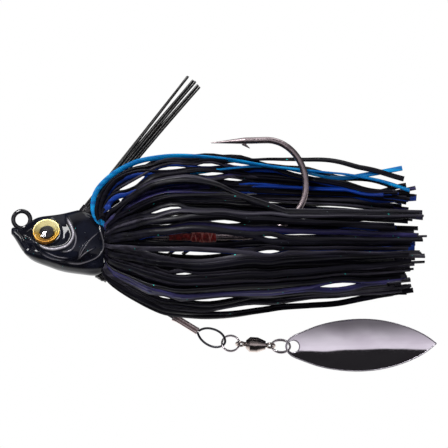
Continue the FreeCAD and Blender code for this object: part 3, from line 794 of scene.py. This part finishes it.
def keep_clear(path):
    """Keeps a strand out of the guard's slot, the wire's slot and the shank."""
    x, y, z = path.T
    side = np.where(y <= 0, -1.0, 1.0)
    need = np.zeros(len(x))
    for beyond, (half_slot, slot_end) in ((z > AXIS_Z, GUARD_SLOT), (z < AXIS_Z, WIRE_SLOT)):
        need[beyond & (x < slot_end)] = half_slot + GAP_MARGIN
    near_collar = np.hypot(y, z - AXIS_Z) < COLLAR_RADIUS + 1.0
    need = np.where(near_collar, 0.0, need) * step(x, *SLOTS_OPEN)
    path[:, 1] = np.where(np.abs(y) < need, side * need, y)
    from_shank = np.hypot(path[:, 1], z - SHANK_Z)
    clear = SHANK_CLEARANCE + GAP_MARGIN
    inside = (from_shank < clear) & (x > COLLAR_HIGH[0])
    scale = np.where(inside, clear / np.maximum(from_shank, 0.05), 1.0)
    path[:, 1] *= scale
    path[:, 2] = SHANK_Z + (z - SHANK_Z) * scale


def strand_path(angle, fullness, reach, draw, crossing):
    """A strand's middle line. angle is measured from straight up towards the near side, in degrees."""
    depth = 1 - np.clip((fullness - 0.6) / 0.35, 0, 1)
    grip = COLLAR_RADIUS + 0.5 * STRAND_THICKNESS
    end = (reach - SKIRT_START) / (SKIRT_END - SKIRT_START)
    turn = math.radians(angle)
    bow = math.radians(draw.uniform(-WANDER, WANDER))
    drift = math.radians(draw.uniform(-1.6 * WANDER, 1.6 * WANDER))
    points = [(COLLAR_HIGH[0] - 0.6, -math.sin(turn) * grip, AXIS_Z + math.cos(turn) * grip)]
    rise, drop, out = outline_at(0.0)
    tall = rise if math.cos(turn) > 0 else drop
    for behind, further, share in ROOT:
        high = grip + (fullness * tall - grip) * share
        wide = grip + (fullness * out - grip) * share
        x = HEAD_REAR + behind + further * depth
        points.append((x, -math.sin(turn) * wide, AXIS_Z + math.cos(turn) * high))
    for share in (0.0, 0.1, 0.27, 0.5, 0.72, 0.88, 1.0):
        place = share * end
        rise, drop, out = outline_at(place)
        turn = math.radians(angle) + bow * math.sin(math.pi * share) + drift * share**2
        tall = rise if math.cos(turn) > 0 else drop
        x = SKIRT_START + place * (SKIRT_END - SKIRT_START)
        y = -math.sin(turn) * fullness * out
        if crossing:
            y += (1.6 + 0.35 * abs(y) - y) * step(x, *CROSSING)
        points.append((x, y, AXIS_Z + math.cos(turn) * fullness * tall))
    return curve_through(points, STRAND_STEPS)


def settle(path, near):
    """Moves a strand out of the gaps, and clear of the guard, the wire and the shank."""
    for gap in GAPS:
        open_gap(path, gap)
    if near:
        open_gap(path, WINDOW)
    keep_clear(path)


def strand_section(width, thickness):
    """A flat strand with eased edges."""
    w, t, ease = width / 2, thickness / 2, 0.06
    quarter = ((w, t - ease), (w - ease, t))
    signs = ((1, 1), (-1, 1), (-1, -1), (1, -1))
    section = []
    for index, (sx, sy) in enumerate(signs):
        pair = quarter if index % 2 == 0 else quarter[::-1]
        section += [(sx * x, sy * y) for x, y in pair]
    return np.array(section)


def add_strand(bundle, path, finish, draw):
    """A strand that starts flat on the collar, give or take a roll, and twists a little on its way."""
    width = STRAND_WIDTH * draw.uniform(0.86, 1.1)
    section = strand_section(width, STRAND_THICKNESS * draw.uniform(0.85, 1.1))
    around = np.array([0.0, -(path[0][2] - AXIS_Z), path[0][1]])
    roll = draw.uniform(-0.5, 0.5)
    start = around * math.cos(roll) + np.array([0.0, around[2], -around[1]]) * math.sin(roll)
    bundle.sweep(path, section, start, twist=draw.uniform(-1.3, 1.3), finish=finish)


def press_down(path, hook_side):
    """Presses strands under the lone ones towards the tail, and those beside the hook to below its bend."""
    x, z = path[:, 0], path[:, 2]
    roof = np.interp(x, *UPPER_ROOF)
    start = 38
    if hook_side:
        roof = np.minimum(roof, np.interp(x, *HOOK_ROOF))
        start = 29
    over = np.maximum(z - roof, 0) * step(x, start, start + 10)
    path[:, 2] = z - PRESSED * over


def fan(bundle, draw, count, first, last, weights, near, crossing=False, hook_side=False, size=1.0):
    """Strands spread between two angles, in layers. weights say how common each finish is."""
    for index in range(count):
        angle = first + (last - first) * (index + draw.uniform(0.1, 0.9)) / count
        layer = draw.choice(LAYERS)
        fullness = size * layer * draw.uniform(0.95, 1.0)
        reach = draw.triangular(*STRAND_TIPS) - TIPS_NEARER * math.cos(math.radians(angle)) ** 2
        path = strand_path(angle, fullness, reach, draw, crossing)
        press_down(path, hook_side)
        settle(path, near)
        finish = draw.choices(range(len(STRAND_FINISHES)), weights)[0]
        add_strand(bundle, path, finish, draw)


# Below this height the strands' roots are tucked in behind the casting's rear edge.
ROOT_COVER = -0.7


def clear_of_head(path, clearance):
    """Moves a near-side path out past the casting's flank wherever the two would meet in the open."""
    out = path[:, 1].copy()
    for index, (x, y, z) in enumerate(path):
        flank = near_surface(HEAD_SHAPE, x, z)
        if flank is not None and x < HEAD_REAR + 0.6 and z > ROOT_COVER:
            out[index] = min(y, flank.y - clearance)
    for _ in range(4):
        out[1:-1] = np.minimum(out[1:-1], 0.25 * out[:-2] + 0.5 * out[1:-1] + 0.25 * out[2:])
    path[:, 1] = out


# Strands that show one by one against the background: finish, then (x, z) from root to tip.
TOP_ROOT = ((16.4, -1.6), (15.3, -1.1))
LONE_STRANDS = (
    (BRIGHT, TOP_ROOT + (
        (14.3, -0.5), (13.5, 0.7), (13.15, 2.3), (13.3, 4), (14.1, 5.7), (15.7, 7.4), (18, 9.1),
        (21.6, 10.7), (26.2, 11.5), (30, 11.65), (34.5, 11.35), (39, 10.85), (43.5, 10.1),
        (48, 9.5), (55, 8.8), (60, 8.3), (66.2, 7.1), (71.3, 5.4))),
    (BLACK, TOP_ROOT + (
        (14.7, 0.2), (14.3, 2), (14.8, 4), (16.3, 6.2), (19.4, 8.4), (22.3, 9.5), (26.2, 10.1),
        (30.4, 10.3), (34.7, 10.5), (40, 10.9), (47, 11.1), (52, 10.9), (60, 9.9), (66, 8.6),
        (70.3, 7.5))),
    (BRIGHT, TOP_ROOT + (
        (15, 0), (14.6, 1.8), (15.2, 4.2), (17.4, 6.7), (21, 8.3), (26, 8.7), (31, 8.5),
        (36, 9.1), (42, 9.8), (47, 9.7), (51, 9), (58, 7.7), (64, 8.4), (70, 9.5))),
    (BLACK, TOP_ROOT + (
        (14.4, -0.2), (13.9, 1.2), (14.1, 3), (15.2, 5.2), (17.6, 7.4), (21, 9), (25.4, 9.8),
        (30, 10), (36, 10.3), (44, 10.2), (52, 9.2), (60, 7.6), (68, 5.9))),
    (DEEP, TOP_ROOT + (
        (15.1, 0.4), (15.1, 2.6), (16.2, 4.9), (18.1, 6.7), (20.6, 7.7), (25, 8.4), (30, 8.1),
        (35, 7.3), (40, 6.7), (47, 6.3), (56, 5.4), (66, 3.6), (72.6, 3.9))),
    (BLACK, TOP_ROOT + (
        (14.8, 0.1), (14.7, 2.2), (15.5, 4.6), (17.5, 6.9), (20.5, 8.3), (25, 9.1), (30, 9.2),
        (36, 9.5), (44, 9.2), (54, 7.9), (63, 6.1), (68.8, 5))),
    (BLACK, TOP_ROOT + (
        (15.2, -0.2), (15.3, 1.4), (16.2, 3.6), (18.6, 5.6), (22.4, 6.8), (28, 7.5), (35, 7.9),
        (44, 7.7), (54, 6.4), (63, 5.3), (70.8, 6.4))),
    (DEEP, TOP_ROOT + (
        (15.5, 0), (15.9, 1.9), (17.4, 3.7), (20.4, 5.3), (25.4, 6.2), (33, 6.7), (42, 6.3),
        (52, 5.5), (62, 4.9), (70, 3.2))),
    (INDIGO, TOP_ROOT + (
        (15.8, -0.4), (16.6, 1.2), (18.6, 2.9), (22.6, 4.6), (28, 5.6), (36, 6.5), (44, 6.4),
        (52, 4.4), (61, 3.6), (72.6, 5.9))),
    (INDIGO, TOP_ROOT + (
        (15.9, -0.6), (16.9, 0.9), (19.4, 2.4), (24, 4), (30, 5.1), (38, 6.1), (46, 5.6),
        (54, 5.2), (62, 3), (71, 1.6))),
)
BOTTOM_ROOT = ((16.4, -7.6), (15.5, -8.8))
LOW_STRANDS = (
    (BLACK, BOTTOM_ROOT + (
        (15.3, -10), (17, -11.9), (20.6, -14.3), (25.5, -16.6), (33, -17.6), (42, -16.95),
        (52, -15.7), (62, -14.4), (71.8, -12.9))),
    (BLACK, BOTTOM_ROOT + (
        (15.4, -9.6), (17.2, -11.2), (21.2, -13.6), (26.5, -15.6), (34, -16.2), (43, -15.2),
        (53, -14.3), (62, -13.4), (70.6, -13.3))),
    (BLACK, BOTTOM_ROOT + (
        (15.3, -9.8), (17.1, -11.5), (20.9, -13.9), (26, -16.1), (33.5, -16.9), (42.5, -16.1),
        (52.5, -15), (62, -13.9), (71.2, -12.2))),
    (SMOKE, BOTTOM_ROOT + (
        (15.6, -9.3), (17.8, -10.9), (22, -12.9), (27.5, -14.6), (35, -15), (44, -14.2),
        (54, -13.6), (62, -12.4), (69.6, -11.6))),
)


def add_lone(bundle, finish, outline, draw, out, tip_y):
    """A strand that follows a given outline: this far out on the near side at its root, and at tip_y by
    the hook's bend. The bright ones lie over the gaps."""
    x, z = curve_through(outline, LONE_STEPS).T
    y = -out - 1.2 * step(x, 18, 26)
    y += (tip_y - y) * step(x, *CROSSING)
    path = np.column_stack([x, y, z])
    if finish != BRIGHT:
        for gap in GAPS:
            open_gap(path, gap)
    clear_of_head(path, 0.4)
    section = strand_section(STRAND_WIDTH * draw.uniform(0.9, 1.05), STRAND_THICKNESS)
    bundle.sweep(path, section, (1, 0, 0), twist=draw.uniform(2.0, 3.2), finish=finish)


def dress_skirt():
    """All the strands, in the four bunches that flare from the collar."""
    draw = random.Random(41)
    bunches = {name: Bundle("skirt_strands_" + name)
               for name in ("upper_left", "upper_right", "lower_left", "lower_right")}
    upper_mix = (44, 20, 22, 14, 0)
    near_mix = (46, 34, 17, 3, 0)
    lower_mix = (64, 31, 5, 0, 0)
    fan(bunches["upper_right"], draw, 28, 6, 46, upper_mix, near=True, crossing=True)
    fan(bunches["upper_left"], draw, 32, 38, 99, near_mix, near=True, hook_side=True)
    fan(bunches["upper_right"], draw, 36, -100, -8, upper_mix, near=False)
    fan(bunches["lower_left"], draw, 36, 97, 172, lower_mix, near=True)
    fan(bunches["lower_right"], draw, 30, 188, 262, lower_mix, near=False, size=0.94)
    for index, (finish, outline) in enumerate(LONE_STRANDS):
        add_lone(bunches["upper_right"], finish, outline, draw, 2.0 + 0.3 * index, 1.5 + 0.4 * index)
    for index, (finish, outline) in enumerate(LOW_STRANDS):
        add_lone(bunches["lower_left"], finish, outline, draw, 2.0 + 0.6 * index, -2.2)
    for name, bundle in bunches.items():
        made = bundle.piece(STRAND_FINISHES)
        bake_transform(made)
        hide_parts("skirt_" + name)


# ---- CAD nodes that stay, with their finishes ----

def finish_cad_nodes():
    """Gives each CAD node that is kept as it is a finish of its own."""
    steel = black_nickel("wire_steel", (0.17, 0.17, 0.19), 0.28)
    sleeve = black_nickel("sleeve_nickel", (0.85, 0.7, 0.68), 0.34)
    rings = black_nickel("ring_nickel", (0.6, 0.55, 0.58), 0.24)
    swivel = black_nickel("swivel_nickel", (0.62, 0.53, 0.49), 0.16)
    balls = black_nickel("ball_steel", (0.6, 0.6, 0.6), 0.1)
    bristle = drawn_plastic("keeper_bristle", (0.008, 0.006, 0.008), (0.03, 0.022, 0.03), 0.28)
    rubber = drawn_plastic("collar_rubber", (0.009, 0.008, 0.009), (0.02, 0.018, 0.02), 0.6, (1, 1, 1))
    glue = drawn_plastic("guard_glue", (0.006, 0.006, 0.007), (0.018, 0.016, 0.018), 0.2, (1, 1, 1))
    gold, pupil, clear = eye_foil(), eye_pupil(), eye_clear()
    finishes = {
        "hook": HOOK, "weed_guard_plug": glue, "skirt_collar": rubber,
        "bait_keeper": bristle, "blade_wire": steel, "wire_sleeve": sleeve, "front_ring": rings,
        "swivel_front_eyelet": swivel, "swivel_barrel": swivel, "swivel_balls": balls,
        "swivel_rear_eyelet": swivel, "rear_ring": rings, "blade": blade_plating(),
    }
    for side in ("left", "right"):
        finishes.update({"eye_foil_" + side: gold, "eye_pupil_" + side: pupil, "eye_dome_" + side: clear})
        raise_skin("eye_foil_" + side, 0.03)
        raise_skin("eye_pupil_" + side, 0.07)
    for node, finish in finishes.items():
        slots = nodes[node].data.materials
        slots.clear()
        slots.append(finish.material)


def raise_skin(node, lift):
    """Lifts a CAD node's faces a hair, so that none lies exactly in the lens's own faces."""
    skin = nodes[node].modifiers.new("lift", "DISPLACE")
    skin.mid_level = 0
    skin.strength = lift * MM


# Radii of the blade's hole and of the bead, the metal ahead of the hole, and how deep the bead is sunk.
BLADE_HOLE = 1.05
BEAD = 0.13
BLADE_RIM = 0.42
BEAD_SUNK = 0.07


def rim_blade():
    """The pressed rim: a fine bead round the leaf's outline and one round its hole, on the convex side."""
    mesh = nodes["blade"].data
    flat = [(corner.co.x / MM, corner.co.z / MM) for corner in mesh.vertices]
    outline = [flat[index] for index in geometry.convex_hull_2d(flat)]
    start = outline.index(min(outline))
    outline = np.array(outline[start:] + outline[:start] + [outline[start]])
    front, tip = outline[0], outline[np.argmax(outline[:, 0])]
    along = unit(tip - front)
    outline = curve_through(outline, 260)
    run = unit(np.gradient(outline, axis=0))
    inward = np.column_stack([-run[:, 1], run[:, 0]])
    inward *= np.sign(np.sum(inward * (outline.mean(axis=0) - outline), axis=1))[:, None]
    hole = front + along * (BLADE_RIM + BLADE_HOLE)
    turns = np.linspace(0, 2 * math.pi, 61)
    circle = hole + (BLADE_HOLE + BEAD) * np.column_stack([np.cos(turns), np.sin(turns)])
    beads = Bundle("blade_pressed_rim")
    sheet = shape_of("blade")
    for line in (outline + inward * BEAD, circle):
        hits = [near_surface(sheet, x, z) for x, z in line]
        path = np.array([hit for hit in hits if hit is not None])
        path[:, 1] += BEAD_SUNK
        beads.sweep(path, ring(BEAD, 8), (0, 1, 0))
    made = beads.piece([black_nickel("blade_rim_nickel", (0.5, 0.47, 0.52), 0.4)])
    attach(made, "blade")


# ---- Studio ----

def light_surroundings():
    """White to the camera. The lure itself sees a bright sweep below and behind, a white wall behind, a soft
    panel in front down to just under the horizon, a ceiling, and a dark room in front below the panel."""
    world = bpy.data.worlds.new("studio")
    bpy.context.scene.world = world
    world.use_nodes = True
    graph = Graph(world.node_tree)
    direction = graph.node("ShaderNodeTexCoord").outputs["Generated"]
    _, y, z = graph.split(direction)
    below = graph.math("ARCTAN2", graph.math("MULTIPLY", z, -1.0), graph.math("MULTIPLY", y, -1.0))
    sweep = graph.math("MULTIPLY", graph.span(below, 1.2, 2.5), graph.span(below, 3.1, 2.5, 0.4, 1.6))
    wall = graph.span(y, 0.93, 0.985)
    panel = graph.math("MULTIPLY", graph.span(below, 0.19, 0.14), graph.span(below, -0.62, 0.14, 0.14, 0.8))
    front = graph.math("MULTIPLY", panel, graph.span(y, 0.15, -0.15))
    ceiling = graph.math("MULTIPLY", graph.span(z, 0.82, 0.98), 0.9)
    lit = graph.math("ADD", graph.math("ADD", sweep, wall), graph.math("ADD", front, ceiling))
    total = graph.math("ADD", lit, 0.02)
    tint = graph.mix(graph.span(y, -0.1, 0.1), (0.96, 0.93, 1.0), WHITE)
    seen = graph.mix(1.0, tint, total, "MULTIPLY")
    camera = graph.node("ShaderNodeLightPath").outputs["Is Camera Ray"]
    background = world.node_tree.nodes["Background"]
    graph.feed(background.inputs["Color"], graph.mix(camera, seen, WHITE))


def softbox(name, centre, direction, distance, size, power):
    """A rectangular light that faces the object."""
    data = bpy.data.lights.new(name, "AREA")
    data.shape = "RECTANGLE"
    data.size, data.size_y = size
    data.energy = power
    lamp = placed(name, data)
    towards = Vector(direction).normalized()
    lamp.location = centre + towards * distance
    lamp.rotation_euler = towards.to_track_quat("Z", "Y").to_euler()


FLOOR_HALF = 3.0
FLOOR_DROP = 0.032


def lay_floor(centre, low):
    """A pale floor a little below the blade."""
    mesh = bpy.data.meshes.new("floor")
    square = ((-1, -1), (1, -1), (1, 1), (-1, 1))
    mesh.from_pydata([(FLOOR_HALF * x, FLOOR_HALF * y, 0) for x, y in square], [], [(0, 1, 2, 3)])
    mesh.materials.append(floor_finish(0.12, 0.26).material)
    floor = placed("floor", mesh)
    floor.location = (centre.x, centre.y, low.z - FLOOR_DROP)
    floor.visible_glossy = False


def set_camera(centre, width):
    """Square on to the left side, through a long lens that takes in the given width."""
    data = bpy.data.cameras.new("camera")
    data.lens = 300
    data.clip_end = 20
    camera = placed("camera", data)
    camera.location = centre - Vector((0, width * data.lens / data.sensor_width, 0))
    camera.rotation_euler = (math.pi / 2, 0, 0)
    bpy.context.scene.camera = camera


# The picture's width as a multiple of the lure's length.
PICTURE_WIDTH = 1.052


def build_studio():
    low, high = CAD_BOX
    centre = (low + high) / 2
    bpy.context.scene.view_settings.view_transform = "Standard"
    light_surroundings()
    softbox("key", centre, (-0.4, -0.62, 0.68), 0.45, (0.13, 0.17), 2.1)
    softbox("side", centre, (-0.85, -0.4, 0.5), 0.5, (0.06, 0.1), 0.12)
    softbox("top", centre, (0.25, 0.15, 1.0), 0.5, (0.3, 0.2), 0.4)
    lay_floor(centre, low)
    set_camera(Vector((centre.x, 0, centre.z)), PICTURE_WIDTH * (high.x - low.x))


sculpt_head()
sculpt_seal()
wind_thread()
grow_guard()
dress_skirt()
finish_cad_nodes()
rim_blade()
build_studio()
